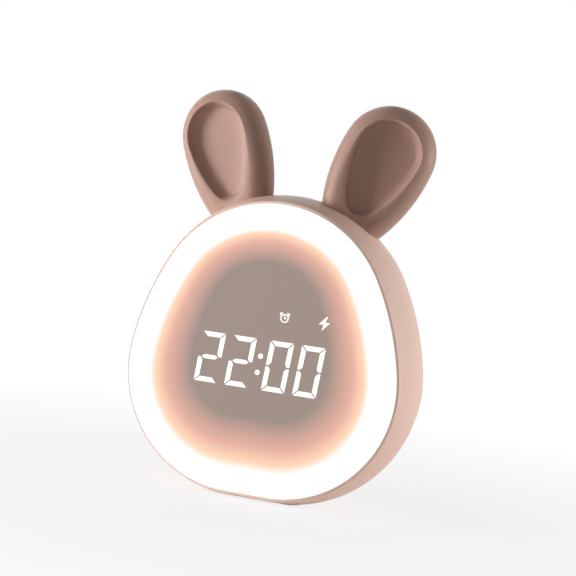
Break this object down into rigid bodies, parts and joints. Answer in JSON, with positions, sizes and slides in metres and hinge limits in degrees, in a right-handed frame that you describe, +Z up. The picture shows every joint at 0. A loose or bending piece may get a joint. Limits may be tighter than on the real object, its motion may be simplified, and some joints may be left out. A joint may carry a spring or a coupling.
{
  "type": "alarm clock with night light",
  "caption": "Egg-shaped desk alarm clock with rabbit ears, a glowing rim as night light, a lit display, and keys, a slide switch, speaker and charging socket at the back.",
  "frame": {"origin": "centre of the overall box's underside, on the surface the clock stands on", "axes": "+Z up, -Y out of the display, +X to the right as seen from the front"},
  "size_m": [0.1096, 0.045, 0.1487],
  "materials": {
    "shell": "matte pale pink",
    "face_cover": "milky, satin",
    "diffuser": "milky white",
    "film": "smoked",
    "ears": "matte dusty rose",
    "foot": "matte",
    "inner_plastic": "matte white",
    "circuit_board": "satin green",
    "lamps": "clear yellow",
    "display_light": "lit white",
    "display_black": "matte black",
    "black_plastic": "satin black",
    "screws": "plain",
    "steel": "plain",
    "battery": "satin silver",
    "foam": "foam",
    "leads": "satin",
    "white_plastic": "satin",
    "ribbon": "satin",
    "cone": "paper",
    "copper": "bright"
  },
  "bodies": {
    "clock": {"battery": "battery", "battery_leads": "leads", "battery_tape": "foam", "charging_chip": "black_plastic", "charging_socket": "steel", "clock_crystal": "steel", "colon_dots": "display_light", "control_chip": "black_plastic", "digit_segments": "display_light", "display_block": "display_black", "display_board": "circuit_board", "display_driver": "black_plastic", "display_screws": "screws", "face_cover": "face_cover", "housing": "shell", "lead_sockets": "white_plastic", "left_ear": "ears", "left_ear_retainer": "steel", "left_ear_screw": "screws", "light_board": "circuit_board", "light_diffuser": "diffuser", "light_leads": "leads", "light_tray": "inner_plastic", "main_board": "circuit_board", "main_board_screws": "screws", "minus_switch": "black_plastic", "night_lamps": "lamps", "plus_switch": "black_plastic", "rear_cover": "shell", "rear_screws": "screws", "reset_switch": "black_plastic", "ribbon_cable": "ribbon", "ribbon_sockets": "white_plastic", "right_ear": "ears", "right_ear_retainer": "steel", "right_ear_screw": "screws", "rubber_foot": "foot", "set_switch": "black_plastic", "slide_switch": "black_plastic", "smoked_film": "film", "socket_tongue": "black_plastic", "speaker_basket": "steel", "speaker_cone": "cone", "speaker_gasket": "foam", "speaker_leads": "leads", "speaker_magnet": "steel", "speaker_terminal": "black_plastic", "status_icons": "display_light", "touch_foil": "copper", "tray_screws": "screws"},
    "minus_button": {"minus_key": "shell", "minus_plunger": "black_plastic"},
    "set_button": {"set_key": "shell", "set_plunger": "black_plastic"},
    "plus_button": {"plus_key": "shell", "plus_plunger": "black_plastic"},
    "power_slider": {"power_knob": "shell", "switch_lever": "black_plastic"}
  },
  "joints": [
    {"name": "minus_button_press", "type": "slide", "parent": "clock", "child": "minus_button", "axis": [0, -1, 0], "range_m": [0, 0.0005], "stiffness_N_per_m": 600, "springref_m": -0.0004},
    {"name": "set_button_press", "type": "slide", "parent": "clock", "child": "set_button", "axis": [0, -1, 0], "range_m": [0, 0.0005], "stiffness_N_per_m": 600, "springref_m": -0.0004},
    {"name": "plus_button_press", "type": "slide", "parent": "clock", "child": "plus_button", "axis": [0, -1, 0], "range_m": [0, 0.0005], "stiffness_N_per_m": 600, "springref_m": -0.0004},
    {"name": "power_slider_slide", "type": "slide", "parent": "clock", "child": "power_slider", "axis": [1, 0, 0], "range_m": [0, 0.002]}
  ]
}
